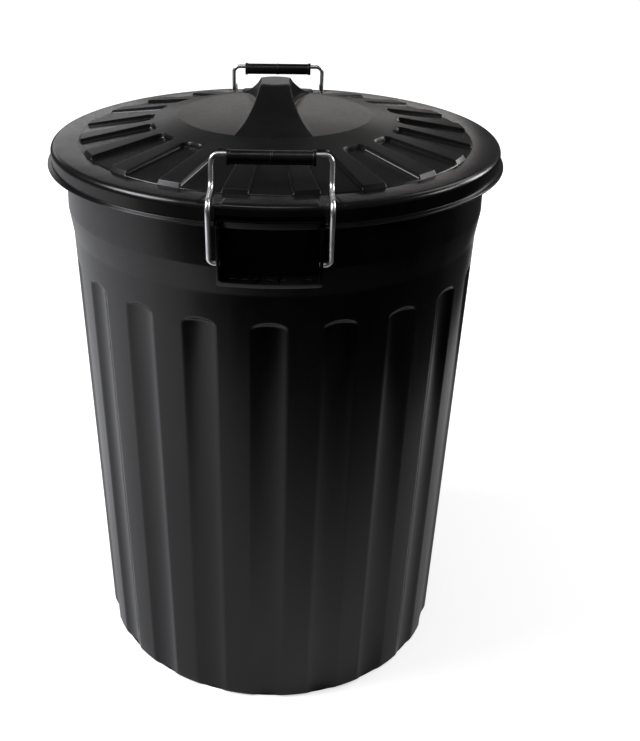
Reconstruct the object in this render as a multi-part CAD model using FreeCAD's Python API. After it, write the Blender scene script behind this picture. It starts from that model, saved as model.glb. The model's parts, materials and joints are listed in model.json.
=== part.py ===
"""Garden waste bin: fluted plastic tub, ribbed lid, two latching wire bails with sleeve grips.

Millimetres, +Z up, the origin at the centre of the base, the front bail towards -Y.
"""
import FreeCAD, Part
import math
import os

from FreeCAD import Vector

# Tub: the base and the rim's height lead, and the steps between them set the rest
tub_base_radius = 210.0
rim_height = 626.4
tub_flare = 24.8
collar_step = 4.8
bead_overhang = 12.4
bead_step = 4.4
bead_height = 15.5
bead_round = 5.0
bead_land = 0.3
rim_depth = 24.4
collar_height = 44.0
collar_slope = 30.0
tub_wall = 3.0
tub_floor = 4.0
base_edge_round = 5.0
foot_height = 4.0
foot_width = 14.0

# Flutes round the tub
flute_count = 20
flute_width = 40.0
flute_depth = 4.2
flute_margin = 29.5
flute_crown_radius = 38.0
flute_corner_radius = 9.0

# Bail lugs, moulded on the collar at the front and rear
lug_width = 102.4
lug_height = 56.0
lug_corner_round = 3.0
ear_thickness = 3.2
ear_margin = 6.5
ledge_thickness = 5.4
slot_count = 7
slot_bridge = 5.0
slot_width = 3.2
pivot_offset = 8.9
pivot_rise = 22.0
pivot_clearance = 0.08

# Lid: rises and drops are measured from the top of its flange
lid_wall = 2.6
skirt_play = 1.4
rim_play = 0.6
skirt_height = 17.0
lip_width = 2.4
lip_thickness = 3.0
flange_width = 31.5
flange_edge_round = 2.2
shoulder_drop = 4.4
shoulder_width = 1.6
shoulder_land = 0.3
skirt_cut_height = 7.0
skirt_cut_play = 0.8
bar_rise = 5.5
bar_bevel = 4.0
panel_count = 20
panel_angle = 11.4
panel_length = 84.5
panel_inner_round = 7.0
panel_depth = 4.6
panel_edge_rise = 0.8
knee_width = 30.0
knee_rise = 20.0
recess_rise = 30.0
ridge_rise = 63.5
ridge_top_radius = 20.0
ridge_crest_round = 26.0
ridge_half_width = 17.0
ridge_flare_width = 46.1
ridge_foot_round = 6.0
dent_width = 26.0
dent_depth = 1.5
dent_length = 8.0

# Wire bails
wire_diameter = 5.0
bail_ear_gap = 4.8
bail_end_length = 3.4
bail_end_bend = 6.0
bail_knee_bend = 6.5
bail_corner_bend = 8.0
bail_skirt_gap = 5.7
bail_flange_gap = 0.9
bail_run = 45.5
bail_rise = 37.0
bail_bar_lean = 5.5

# Sleeve grips
grip_end_gap = 12.75
grip_diameter = 14.0
grip_wall = 1.1
grip_play = 0.3
grip_collar_rise = 0.8
grip_collar_length = 3.4
grip_band_rise = 0.3
grip_band_width = 1.4

# Room that a cutting solid has beyond the face that it cuts
overcut = 3.0

UP = Vector(0, 0, 1)
CENTRE = Vector(0, 0, 0)

# Radii, from the base outwards
tub_body_radius = tub_base_radius + tub_flare
collar_radius = tub_body_radius + collar_step
bead_radius = collar_radius + bead_overhang
rim_radius = bead_radius - bead_step
skirt_bore = bead_radius + skirt_play
flange_radius = skirt_bore + lid_wall
skirt_radius = flange_radius + shoulder_width
lip_radius = skirt_radius + lip_width
panel_outer_radius = flange_radius - flange_width
panel_inner_radius = panel_outer_radius - panel_length
recess_radius = panel_inner_radius - knee_width

# Heights above the ground, from the rim down and from the rim up
rim_step = rim_height - rim_depth
collar_bottom = rim_step - collar_height
tub_body_top = collar_bottom - collar_slope
flute_top = tub_body_top - flute_margin
floor_height = foot_height + tub_floor
lug_bottom = rim_step - lug_height
pivot_height = lug_bottom + pivot_rise
flange_height = rim_height + lid_wall
bail_bar_height = flange_height + bail_rise

# Bails and grips, from the lugs and the lid's lip
wire_radius = wire_diameter / 2
pivot_reach = collar_radius + pivot_offset
lug_reach = math.hypot(pivot_reach + ear_margin, lug_width / 2)
bail_side = lug_width / 2 + bail_ear_gap + wire_radius
bail_end_reach = lug_width / 2 - bail_end_length
bail_shoulder_reach = math.sqrt(lip_radius ** 2 - bail_side ** 2) + wire_radius + bail_skirt_gap
bail_upright_reach = bail_shoulder_reach - bail_run
bail_bar_reach = bail_upright_reach - bail_bar_lean
grip_length = 2 * (bail_side - wire_radius - grip_end_gap)

wall_slant = math.atan2(tub_flare, tub_body_top)


def closed_wire(start, *moves):
    """Closed wire of straight moves (an end point) and round ones (a middle point and an end point)."""
    edges = []
    here = start
    for move in moves + (start,):
        if isinstance(move, tuple):
            middle, there = move
            edges.append(Part.Arc(here, middle, there).toShape())
        else:
            there = move
            edges.append(Part.makeLine(here, there))
        here = there
    return Part.Wire(edges)


def rounded_corner(before, corner, after, radius):
    """Start, middle and end point of the arc that rounds a corner between two straight runs."""
    back = (before - corner).normalize()
    ahead = (after - corner).normalize()
    half_opening = back.getAngle(ahead) / 2
    setback = radius / math.tan(half_opening)
    bisector = (back + ahead).normalize()
    middle = corner + bisector * (radius / math.sin(half_opening) - radius)
    return corner + back * setback, middle, corner + ahead * setback


def revolved(wire, angle=360.0):
    """Solid swept by a profile in the XZ plane round the Z axis, centred on +X."""
    solid = Part.Face(wire).revolve(CENTRE, UP, angle)
    if angle < 360.0:
        solid.rotate(CENTRE, UP, -angle / 2)
    return solid


def around(shape, count, first_angle=-90.0):
    """Compound of copies of a shape, turned evenly round the Z axis."""
    copies = []
    for index in range(count):
        copy = shape.copy()
        copy.rotate(CENTRE, UP, first_angle + index * 360.0 / count)
        copies.append(copy)
    return Part.makeCompound(copies)


def front_and_rear(shape):
    """The shape as made for the front, and its copy turned half round for the rear."""
    rear = shape.copy()
    rear.rotate(CENTRE, UP, 180)
    return shape, rear


def side_profile(radius, height):
    """Point of a profile that is turned round the Z axis."""
    return Vector(radius, 0, height)


def wall_radius(height):
    """Outer radius of the tub between its flutes."""
    return tub_base_radius + height * math.tan(wall_slant)


def flute_outline(depth, grow):
    """Arched outline of a flute at a depth below the wall; its sides slope at 45 degrees."""
    offset = grow * math.sqrt(2) - depth
    half = flute_width / 2 + offset
    crown = flute_crown_radius + offset
    corner = flute_corner_radius + offset
    top = flute_top + offset
    bottom = -overcut - flute_depth
    crown_centre = top - crown
    corner_side = half - corner
    corner_level = crown_centre + math.sqrt((crown - corner) ** 2 - corner_side ** 2)
    lean = math.atan2(corner_level - crown_centre, corner_side)

    def place(across, along):
        out = tub_base_radius + along * math.sin(wall_slant) - depth * math.cos(wall_slant)
        return Vector(out, across, along * math.cos(wall_slant) + depth * math.sin(wall_slant))

    def corner_point(side, angle):
        return place(side * (corner_side + corner * math.cos(angle)), corner_level + corner * math.sin(angle))

    return closed_wire(
        place(half, bottom),
        place(half, corner_level),
        (corner_point(1, lean / 2), corner_point(1, lean)),
        (place(0, top), corner_point(-1, lean)),
        (corner_point(-1, lean / 2), place(-half, corner_level)),
        place(-half, bottom),
    )


def flutes(grow):
    """The hollows of the flutes; grown by the wall they are the bulges inside the tub."""
    outside = flute_outline(-overcut, grow)
    floor = flute_outline(flute_depth + grow, grow)
    return around(Part.makeLoft([outside, floor], True, True), flute_count)


def tub_outside():
    """Outer form of the tub, without flutes."""
    edge = base_edge_round
    edge_sag = edge * (1 - math.cos(math.pi / 4))
    edge_middle = side_profile(tub_base_radius - edge_sag, edge_sag)
    step = side_profile(collar_radius, rim_step)
    bead_low = side_profile(bead_radius, rim_step)
    bead_high = side_profile(bead_radius, rim_step + bead_height)
    neck = side_profile(rim_radius, rim_step + bead_height)
    low = rounded_corner(step, bead_low, bead_high, bead_round)
    high = rounded_corner(bead_low, bead_high, neck, bead_step - bead_land)
    return revolved(closed_wire(
        CENTRE,
        side_profile(tub_base_radius - edge, 0),
        (edge_middle, side_profile(wall_radius(edge), edge)),
        side_profile(tub_body_radius, tub_body_top),
        side_profile(collar_radius, collar_bottom),
        step,
        low[0],
        (low[1], low[2]),
        high[0],
        (high[1], high[2]),
        neck,
        side_profile(rim_radius, rim_height),
        side_profile(0, rim_height),
    ))


def tub_inside():
    """Hollow of the tub, one wall inside its outer form."""
    inset = tub_wall
    floor = floor_height
    foot_corner = side_profile(wall_radius(floor) - inset, floor)
    body_top = side_profile(tub_body_radius - inset, tub_body_top)
    corner = rounded_corner(side_profile(0, floor), foot_corner, body_top, base_edge_round)
    hollow = revolved(closed_wire(
        side_profile(0, floor),
        corner[0],
        (corner[1], corner[2]),
        body_top,
        side_profile(collar_radius - inset, collar_bottom),
        side_profile(collar_radius - inset, rim_step + inset),
        side_profile(rim_radius - inset, rim_step + inset),
        side_profile(rim_radius - inset, rim_height + overcut),
        side_profile(0, rim_height + overcut),
    ))
    return hollow.cut(flutes(tub_wall))


def lug():
    """Front lug: a U of two ears and a slotted ledge under the rim, its front round the tub's axis."""
    root = -math.sqrt((collar_radius - tub_wall) ** 2 - (lug_width / 2) ** 2)
    top = rim_step + bead_round

    def u_outline(half_width, bottom):
        start = Vector(half_width, root, top)
        end = Vector(-half_width, root, top)
        right = Vector(half_width, root, bottom)
        left = Vector(-half_width, root, bottom)
        r_arc = rounded_corner(start, right, left, lug_corner_round)
        l_arc = rounded_corner(right, left, end, lug_corner_round)
        return closed_wire(start, r_arc[0], (r_arc[1], r_arc[2]), l_arc[0], (l_arc[1], l_arc[2]), end)

    outward = Vector(0, -lug_reach - root, 0)
    block = Part.Face(u_outline(lug_width / 2, lug_bottom)).extrude(outward)
    pocket_outline = u_outline(lug_width / 2 - ear_thickness, lug_bottom + ledge_thickness)
    pocket = Part.Face(pocket_outline).extrude(outward)
    front = Part.makeCylinder(lug_reach, lug_height * 2, Vector(0, 0, lug_bottom - overcut))
    frame = block.cut(pocket).common(front)
    pivot = Vector(-lug_width, -pivot_reach, pivot_height)
    bore = Part.makeCylinder(wire_radius + pivot_clearance, lug_width * 2, pivot, Vector(1, 0, 0))
    frame = frame.cut(bore)
    slot_pitch = (lug_width - 2 * ear_thickness) / (slot_count + 1)
    slot_length = slot_pitch - slot_bridge
    slot_circle = (collar_radius + lug_reach) / 2
    slots = []
    for index in range(slot_count):
        middle = (index - (slot_count - 1) / 2) * slot_pitch
        behind = -math.sqrt(slot_circle ** 2 - middle ** 2) - slot_width / 2
        corner = Vector(middle - slot_length / 2, behind, lug_bottom - overcut)
        slots.append(Part.makeBox(slot_length, slot_width, ledge_thickness + 2 * overcut, corner))
    return frame.cut(Part.makeCompound(slots))


def make_tub():
    """Tub with its flutes, foot ring and both lugs."""
    shell = tub_outside().cut(flutes(0))
    foot_radius = tub_base_radius - base_edge_round - foot_width
    shell = shell.cut(Part.makeCone(foot_radius + foot_height, foot_radius, foot_height))
    for one_lug in front_and_rear(lug()):
        shell = shell.fuse(one_lug)
    return shell.cut(tub_inside()).removeSplitter()


def lid_point(radius, rise):
    """Point of the lid's profile at a rise above the flange top."""
    return side_profile(radius, flange_height + rise)


def dome_line(inset):
    """Moves of the dome's profile from its middle to the flange, lowered by the inset."""
    crest_centre_rise = ridge_rise - ridge_crest_round
    run = recess_radius - ridge_top_radius
    fall = recess_rise - crest_centre_rise
    tangent = math.atan2(fall, run) + math.acos(ridge_crest_round / math.hypot(run, fall))

    def crest(angle):
        out = ridge_top_radius + ridge_crest_round * math.cos(angle)
        return lid_point(out, crest_centre_rise + ridge_crest_round * math.sin(angle) - inset)

    return [
        lid_point(ridge_top_radius, ridge_rise - inset),
        (crest((tangent + math.pi / 2) / 2), crest(tangent)),
        lid_point(recess_radius, recess_rise - inset),
        lid_point(panel_inner_radius, knee_rise - inset),
        lid_point(panel_outer_radius - bar_bevel, bar_rise - inset),
        lid_point(panel_outer_radius, -inset),
    ]


def lid_outside():
    """Outer form of the lid before its panels and finger recesses are sunk."""
    edge = lid_point(flange_radius, 0)
    edge_foot = lid_point(flange_radius, -shoulder_drop)
    shoulder = lid_point(skirt_radius, -shoulder_drop)
    lip_top = lip_thickness - skirt_height
    edge_arc = rounded_corner(lid_point(0, 0), edge, edge_foot, flange_edge_round)
    skirt_foot = lid_point(skirt_radius, lip_top)
    shoulder_arc = rounded_corner(edge_foot, shoulder, skirt_foot, shoulder_width - shoulder_land)
    return revolved(closed_wire(
        lid_point(0, ridge_rise),
        *dome_line(0),
        edge_arc[0],
        (edge_arc[1], edge_arc[2]),
        edge_foot,
        shoulder_arc[0],
        (shoulder_arc[1], shoulder_arc[2]),
        lid_point(skirt_radius, lip_top + lip_width),
        lid_point(lip_radius, lip_top),
        lid_point(lip_radius, -skirt_height),
        lid_point(0, -skirt_height),
    ))


def lid_inside():
    """Hollow under the lid before it follows the panels and recesses."""
    below = -skirt_height - overcut
    return revolved(closed_wire(
        lid_point(0, ridge_rise - lid_wall),
        *dome_line(lid_wall),
        lid_point(skirt_bore, -lid_wall),
        lid_point(skirt_bore, below),
        lid_point(0, below),
    ))


def ridge_plan(widen, rise):
    """Hourglass outline of the grip ridge at a rise above the flange."""
    reach = recess_radius + overcut
    waist = ridge_half_width + widen
    flare = waist + (ridge_flare_width - ridge_half_width) * (reach / recess_radius) ** 2
    height = flange_height + rise
    return closed_wire(
        Vector(flare, -reach, height),
        (Vector(waist, 0, height), Vector(flare, reach, height)),
        Vector(-flare, reach, height),
        (Vector(-waist, 0, height), Vector(-flare, -reach, height)),
    )


def finger_recesses(inset):
    """The room on both sides of the grip ridge, above the recess floors."""
    floor = recess_rise - inset
    sections = []
    for angle in (0, 30, 60, 90):
        widen = ridge_foot_round * (1 - math.sin(math.radians(angle)))
        climb = ridge_foot_round * (1 - math.cos(math.radians(angle)))
        sections.append(ridge_plan(widen - inset, floor + climb))
    sections.append(ridge_plan(-inset, ridge_rise + overcut))
    ridge = Part.makeLoft(sections, True, True)
    foot = Vector(0, 0, flange_height + floor)
    room = Part.makeCylinder(recess_radius + 2 * overcut, ridge_rise - floor, foot)
    return room.cut(ridge)


def panels(inset):
    """Sunken wedge panels between the radial bars; with an inset they are the bulges under the lid."""
    inner = panel_inner_radius - inset
    outer = panel_outer_radius + inset
    high = knee_rise + overcut
    spread = panel_angle + 2 * math.degrees(inset / panel_outer_radius)
    wedge = revolved(closed_wire(
        lid_point(inner, knee_rise - panel_depth - inset),
        lid_point(outer, panel_edge_rise - inset),
        lid_point(outer, high),
        lid_point(inner, high),
    ), spread)
    inner_corners = []
    for edge in wedge.Edges:
        middle = edge.CenterOfMass
        upright = abs(edge.tangentAt(edge.FirstParameter).z) > math.cos(wall_slant)
        if upright and math.hypot(middle.x, middle.y) < (inner + outer) / 2:
            inner_corners.append(edge)
    return around(wedge.makeFillet(panel_inner_round, inner_corners), panel_count)


def dents(inset):
    """Shallow dents in the edge of the flange, under the bail wires; their sides slope at 45 degrees."""
    start = math.sqrt(flange_radius ** 2 - bail_side ** 2) - dent_length - inset
    outward = Vector(0, -dent_length - inset - 2 * overcut, 0)
    half = dent_width / 2 + inset
    low = flange_height - dent_depth - inset
    high = flange_height + overcut
    made = []
    for middle in (-bail_side, bail_side):
        outline = closed_wire(
            Vector(middle - half + dent_depth, -start, low),
            Vector(middle + half - dent_depth, -start, low),
            Vector(middle + half + overcut, -start, high),
            Vector(middle - half - overcut, -start, high),
        )
        made.extend(front_and_rear(Part.Face(outline).extrude(outward)))
    return Part.makeCompound(made)


def make_lid():
    """Lid: the outer form and the hollow under it, sunk alike so that the wall stays even."""
    outside = lid_outside().cut(finger_recesses(0)).cut(panels(0)).cut(dents(0))
    rim_room = Part.makeCylinder(rim_radius + rim_play, flange_height)
    inside = lid_inside().cut(finger_recesses(lid_wall)).cut(panels(lid_wall))
    lid = outside.cut(inside.cut(dents(lid_wall).cut(rim_room)))
    cut_width = lug_width + 2 * skirt_cut_play
    cut_reach = lip_radius + overcut
    corner = Vector(-cut_width / 2, -cut_reach, flange_height - skirt_height - overcut)
    notch = Part.makeBox(cut_width, cut_reach, skirt_cut_height + overcut, corner)
    for one_notch in front_and_rear(notch):
        lid = lid.cut(one_notch)
    return lid.removeSplitter()


def bent_wire(points, bends):
    """Round wire along straight runs with a bend at each inner point."""
    edges = []
    here = points[0]
    for index, bend in enumerate(bends, 1):
        start, middle, end = rounded_corner(points[index - 1], points[index], points[index + 1], bend)
        edges.append(Part.makeLine(here, start))
        edges.append(Part.Arc(start, middle, end).toShape())
        here = end
    edges.append(Part.makeLine(here, points[-1]))
    section = Part.Wire(Part.makeCircle(wire_radius, points[0], points[1] - points[0]))
    return Part.Wire(edges).makePipeShell([section], True, False)


def make_bail():
    """Front bail: ends in the ears, legs past the skirt, runs over the flange, uprights and the top bar."""
    side = bail_side
    run_height = flange_height + bail_flange_gap + wire_radius
    half = [
        Vector(bail_end_reach, -pivot_reach, pivot_height),
        Vector(side, -pivot_reach, pivot_height),
        Vector(side, -bail_shoulder_reach, run_height),
        Vector(side, -bail_upright_reach, run_height),
        Vector(side, -bail_bar_reach, bail_bar_height),
    ]
    other_half = [Vector(-point.x, point.y, point.z) for point in reversed(half)]
    bends = [bail_end_bend, bail_knee_bend, bail_knee_bend, bail_corner_bend]
    return bent_wire(half + other_half, bends + bends[::-1])


def make_grip():
    """Front grip: a thin sleeve with a collar at each end and a fine band at its middle, hung on the bar."""
    tube = grip_diameter / 2
    bore = tube - grip_wall
    hang = bore - wire_radius - grip_play
    collar = tube + grip_collar_rise
    band = tube + grip_band_rise
    end = grip_length / 2
    collar_end = end - grip_collar_length
    band_end = grip_band_width / 2

    def place(along, out):
        return Vector(along, -bail_bar_reach, bail_bar_height - hang + out)

    half = [(end, bore), (end, collar), (collar_end, collar)]
    half += [(collar_end, tube), (band_end, tube), (band_end, band)]
    right = [place(along, out) for along, out in half]
    left = [place(-along, out) for along, out in reversed(half)]
    return Part.Face(closed_wire(*(right + left))).revolve(place(0, 0), Vector(1, 0, 0), 360)


def main():
    """Writes one file for each piece of the bin."""
    front_bail, rear_bail = front_and_rear(make_bail())
    front_grip, rear_grip = front_and_rear(make_grip())
    pieces = {
        "tub": make_tub(),
        "lid": make_lid(),
        "front_bail": front_bail,
        "rear_bail": rear_bail,
        "front_grip": front_grip,
        "rear_grip": rear_grip,
    }
    os.makedirs("parts", exist_ok=True)
    for name, shape in pieces.items():
        shape.exportStep("parts/" + name + ".step")
        print(name, len(shape.Solids), shape.isValid(), round(shape.Volume / 1000, 2), "cm3")


main()
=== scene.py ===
import json
import logging
import math
from dataclasses import dataclass
from enum import Enum

import bmesh
import bpy
import numpy as np
from mathutils import Euler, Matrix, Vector

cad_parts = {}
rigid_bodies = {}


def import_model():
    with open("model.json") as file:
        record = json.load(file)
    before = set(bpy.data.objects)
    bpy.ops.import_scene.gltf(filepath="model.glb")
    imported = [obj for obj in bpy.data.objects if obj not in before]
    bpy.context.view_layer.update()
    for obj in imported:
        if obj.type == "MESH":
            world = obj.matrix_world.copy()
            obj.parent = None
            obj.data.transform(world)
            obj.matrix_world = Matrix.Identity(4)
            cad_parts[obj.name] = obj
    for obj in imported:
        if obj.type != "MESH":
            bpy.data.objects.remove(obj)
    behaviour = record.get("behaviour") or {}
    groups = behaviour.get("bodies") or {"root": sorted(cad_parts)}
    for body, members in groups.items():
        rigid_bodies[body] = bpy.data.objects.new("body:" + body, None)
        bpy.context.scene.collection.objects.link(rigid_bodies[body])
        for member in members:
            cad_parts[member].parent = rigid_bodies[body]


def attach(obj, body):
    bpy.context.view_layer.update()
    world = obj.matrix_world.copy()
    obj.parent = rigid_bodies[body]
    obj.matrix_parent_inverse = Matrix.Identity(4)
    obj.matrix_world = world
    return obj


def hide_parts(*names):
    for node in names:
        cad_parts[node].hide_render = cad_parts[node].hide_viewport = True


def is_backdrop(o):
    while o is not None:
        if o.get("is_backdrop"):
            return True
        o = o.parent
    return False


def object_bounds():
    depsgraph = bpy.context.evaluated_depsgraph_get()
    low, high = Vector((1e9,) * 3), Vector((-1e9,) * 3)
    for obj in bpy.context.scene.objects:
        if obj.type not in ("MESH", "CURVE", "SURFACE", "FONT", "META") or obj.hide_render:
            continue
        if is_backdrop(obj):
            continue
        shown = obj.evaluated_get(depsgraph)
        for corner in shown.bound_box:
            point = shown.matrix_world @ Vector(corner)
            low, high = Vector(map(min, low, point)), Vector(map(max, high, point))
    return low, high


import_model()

# Looks of a garden waste bin: a fluted tub with two lugs, a ribbed lid, two wire bails and their sleeve grips.
# Sizes are in millimetres and become metres where a mesh is written; the front bail is towards -Y.

LOG = logging.getLogger("waste_bin")
MILLIMETRE = 0.001  # metres
WELD = 0.00002  # metres
SHARP_EDGE = 38.0  # degrees
NEARLY_STRAIGHT = 0.01  # radians


class End(Enum):
    """The two ends of the bin that carry a lug, a bail and a grip."""

    FRONT = "front"
    REAR = "rear"

    def placed(self, points: np.ndarray) -> np.ndarray:
        """Points made for the front, turned half round for the rear."""
        return points if self is End.FRONT else points * np.array([-1.0, -1.0, 1.0])


class Layer(Enum):
    """The two faces of a moulded wall."""

    OUTER = "outer"
    INNER = "inner"


def soft_least(one: np.ndarray, other: np.ndarray, blend: float) -> np.ndarray:
    """Lesser of two fields, with a round of about the blend's size where they cross.

    Args:
        one: First field.
        other: Second field.
        blend: Width of the round, in millimetres.

    Returns:
        The blended field.
    """
    near = np.maximum(blend - np.abs(one - other), 0.0) / blend
    return np.minimum(one, other) - near * near * blend / 4


def soft_most(one: np.ndarray, other: np.ndarray, blend: float) -> np.ndarray:
    """Greater of two fields, with a round where they cross."""
    return -soft_least(-one, -other, blend)


def rounded_path(corners: list[tuple[float, float, float]], turn: float = 12.0) -> np.ndarray:
    """Samples a path of straight runs whose corners are rounded.

    Args:
        corners: Across, up and corner radius of each corner; the ends have no radius.
        turn: Largest turn between two samples of a corner, in degrees.

    Returns:
        The sampled points, one row each.
    """
    points = [np.array(corners[0][:2], float)]
    for before, corner, after in zip(corners, corners[1:], corners[2:]):
        middle = np.array(corner[:2], float)
        back = np.array(before[:2], float) - middle
        ahead = np.array(after[:2], float) - middle
        back /= np.linalg.norm(back)
        ahead /= np.linalg.norm(ahead)
        half = math.acos(float(np.clip(back @ ahead, -1.0, 1.0))) / 2
        if corner[2] <= 0 or math.pi / 2 - half < NEARLY_STRAIGHT:
            points.append(middle)
            continue
        setback = corner[2] / math.tan(half)
        bisector = (back + ahead) / np.linalg.norm(back + ahead)
        centre = middle + bisector * corner[2] / math.sin(half)
        start = middle + back * setback
        sweep = math.pi - 2 * half
        steps = max(2, math.ceil(math.degrees(sweep) / turn))
        arm = start - centre
        sense = math.copysign(1.0, float(back[1] * ahead[0] - back[0] * ahead[1]))
        for step in range(steps + 1):
            angle = sense * sweep * step / steps
            cos, sin = math.cos(angle), math.sin(angle)
            points.append(centre + np.array([arm[0] * cos - arm[1] * sin, arm[0] * sin + arm[1] * cos]))
    points.append(np.array(corners[-1][:2], float))
    return np.array(points)


class Skin:
    """Vertices and faces of a piece, gathered patch by patch."""

    def __init__(self) -> None:
        """Starts with no patch."""
        self.points: list[np.ndarray] = []
        self.shelter: list[np.ndarray] = []
        self.faces: list[tuple[int, ...]] = []
        self.count = 0

    def patch(self, grid: np.ndarray, flip: bool = False, shelter: np.ndarray | None = None) -> None:
        """Adds a patch that faces along columns crossed with rows.

        Args:
            grid: Points by row and column, in millimetres.
            flip: Whether the patch faces the other way.
            shelter: How far each point lies in a hollow that isn't rubbed, from 0 to 1.
        """
        rows, columns = grid.shape[:2]
        index = np.arange(rows * columns).reshape(rows, columns) + self.count
        quads = np.stack([index[:-1, :-1], index[:-1, 1:], index[1:, 1:], index[1:, :-1]], -1).reshape(-1, 4)
        self.faces.extend(map(tuple, (quads[:, ::-1] if flip else quads).tolist()))
        self.points.append(grid.reshape(-1, 3))
        self.shelter.append(np.zeros(rows * columns) if shelter is None else shelter.reshape(-1))
        self.count += rows * columns

    def mesh(self, name: str) -> bpy.types.Mesh:
        """Makes the gathered patches one smooth mesh, in metres, with its seams welded.

        Args:
            name: Name of the mesh.

        Returns:
            The new mesh.
        """
        mesh = bpy.data.meshes.new(name)
        mesh.from_pydata((np.concatenate(self.points) * MILLIMETRE).tolist(), [], self.faces)
        layer = mesh.attributes.new("shelter", "FLOAT", "POINT")
        layer.data.foreach_set("value", np.concatenate(self.shelter).astype(np.float32))
        return welded(mesh)


def welded(mesh: bpy.types.Mesh, *others: bpy.types.Mesh) -> bpy.types.Mesh:
    """Joins meshes into the first, welds their seams and shades them smooth but for sharp edges.

    Args:
        mesh: The mesh that is kept.
        others: Meshes that are added to it and removed.

    Returns:
        The first mesh.
    """
    work = bmesh.new()
    for one in (mesh, *others):
        work.from_mesh(one)
    bmesh.ops.remove_doubles(work, verts=work.verts, dist=WELD)
    bmesh.ops.dissolve_degenerate(work, edges=work.edges, dist=WELD / 4)
    for face in work.faces:
        face.smooth = True
    work.to_mesh(mesh)
    work.free()
    for one in others:
        bpy.data.meshes.remove(one)
    mesh.set_sharp_from_angle(angle=math.radians(SHARP_EDGE))
    return mesh


def put(name: str, data: bpy.types.ID) -> bpy.types.Object:
    """Adds an object to the scene.

    Args:
        name: Name of the object.
        data: Its mesh, light or camera.

    Returns:
        The new object.
    """
    thing = bpy.data.objects.new(name, data)
    bpy.context.scene.collection.objects.link(thing)
    return thing


def discard(thing: bpy.types.Object) -> None:
    """Removes an object and its mesh.

    Args:
        thing: The object.
    """
    mesh = thing.data
    bpy.data.objects.remove(thing)
    bpy.data.meshes.remove(mesh)


def baked(thing: bpy.types.Object, name: str) -> bpy.types.Mesh:
    """Makes an object with its modifiers a plain mesh.

    Args:
        thing: The object, which is removed.
        name: Name of the plain mesh.

    Returns:
        The plain mesh.
    """
    graph = bpy.context.evaluated_depsgraph_get()
    result = bpy.data.meshes.new_from_object(thing.evaluated_get(graph), depsgraph=graph)
    thing.modifiers.clear()
    discard(thing)
    result.name = name
    return result


def stand_up(mesh: bpy.types.Mesh, finish: bpy.types.Material) -> bpy.types.Object:
    """Puts a mesh in the scene as an object of its name.

    Args:
        mesh: The piece's mesh.
        finish: The one material that it gets.

    Returns:
        The new object.
    """
    mesh.materials.clear()
    mesh.materials.append(finish)
    return put(mesh.name, mesh)


class NodeTree:
    """A node tree that is filled by short calls."""

    def __init__(self, tree: bpy.types.NodeTree) -> None:
        """Empties the tree."""
        self.tree = tree
        tree.nodes.clear()

    def add(self, kind: str, inputs: dict | None = None, **settings: object) -> bpy.types.Node:
        """Adds a node.

        Args:
            kind: The node's type.
            inputs: Values, or sockets to link, by the input's name or number.
            settings: The node's own properties.

        Returns:
            The new node.
        """
        node = self.tree.nodes.new(kind)
        for key, value in settings.items():
            setattr(node, key, value)
        for key, value in (inputs or {}).items():
            if isinstance(value, bpy.types.NodeSocket):
                self.tree.links.new(value, node.inputs[key])
            else:
                node.inputs[key].default_value = value
        return node

    def socket(self, name: str, kind: str, way: str = "INPUT") -> str:
        """Declares a named socket of a geometry tree and returns its identifier."""
        return self.tree.interface.new_socket(name=name, in_out=way, socket_type=kind).identifier


def blank_material(name: str) -> tuple[bpy.types.Material, NodeTree]:
    """Makes a material without nodes.

    Args:
        name: Name of the material.

    Returns:
        The material and its tree.
    """
    made = bpy.data.materials.new(name)
    made.use_nodes = True
    return made, NodeTree(made.node_tree)


class GeometryRule:
    """A geometry tree with named inputs that is run on a mesh and leaves a plain mesh."""

    title: str = "rule"
    inputs: dict[str, str] = {}

    def __init__(self) -> None:
        """Builds the tree."""
        self.nodes = NodeTree(bpy.data.node_groups.new(self.title, "GeometryNodeTree"))
        self.ids = {"Geometry": self.nodes.socket("Geometry", "NodeSocketGeometry")}
        for name, kind in self.inputs.items():
            self.ids[name] = self.nodes.socket(name, kind)
        self.ids["Finish"] = self.nodes.socket("Finish", "NodeSocketMaterial")
        self.nodes.socket("Geometry", "NodeSocketGeometry", "OUTPUT")
        self.given = self.nodes.add("NodeGroupInput").outputs
        made = self.nodes.add("GeometryNodeRealizeInstances", {"Geometry": self.shape()})
        smooth = self.nodes.add("GeometryNodeSetShadeSmooth", {"Geometry": made.outputs["Geometry"]})
        merged = self.nodes.add(
            "GeometryNodeMergeByDistance", {"Geometry": smooth.outputs["Geometry"], "Distance": WELD}
        )
        dressed = self.nodes.add(
            "GeometryNodeSetMaterial",
            {"Geometry": merged.outputs["Geometry"], "Material": self.given["Finish"]},
        )
        self.nodes.add("NodeGroupOutput", {"Geometry": dressed.outputs["Geometry"]})

    def shape(self) -> bpy.types.NodeSocket:
        """Adds the rule's own nodes and returns their geometry."""
        raise NotImplementedError

    def run(self, mesh: bpy.types.Mesh, finish: bpy.types.Material, **values: object) -> bpy.types.Mesh:
        """Runs the tree on a mesh.

        Args:
            mesh: The mesh that the rule starts from, which is removed.
            finish: Material that the result gets.
            values: Values of the named inputs.

        Returns:
            The result as a plain mesh.
        """
        name = mesh.name
        mesh.name = name + "_seed"
        thing = put(mesh.name, mesh)
        modifier = thing.modifiers.new(self.title, "NODES")
        modifier.node_group = self.nodes.tree
        modifier[self.ids["Finish"]] = finish
        for key, value in values.items():
            modifier[self.ids[key]] = value
        return baked(thing, name)


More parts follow.
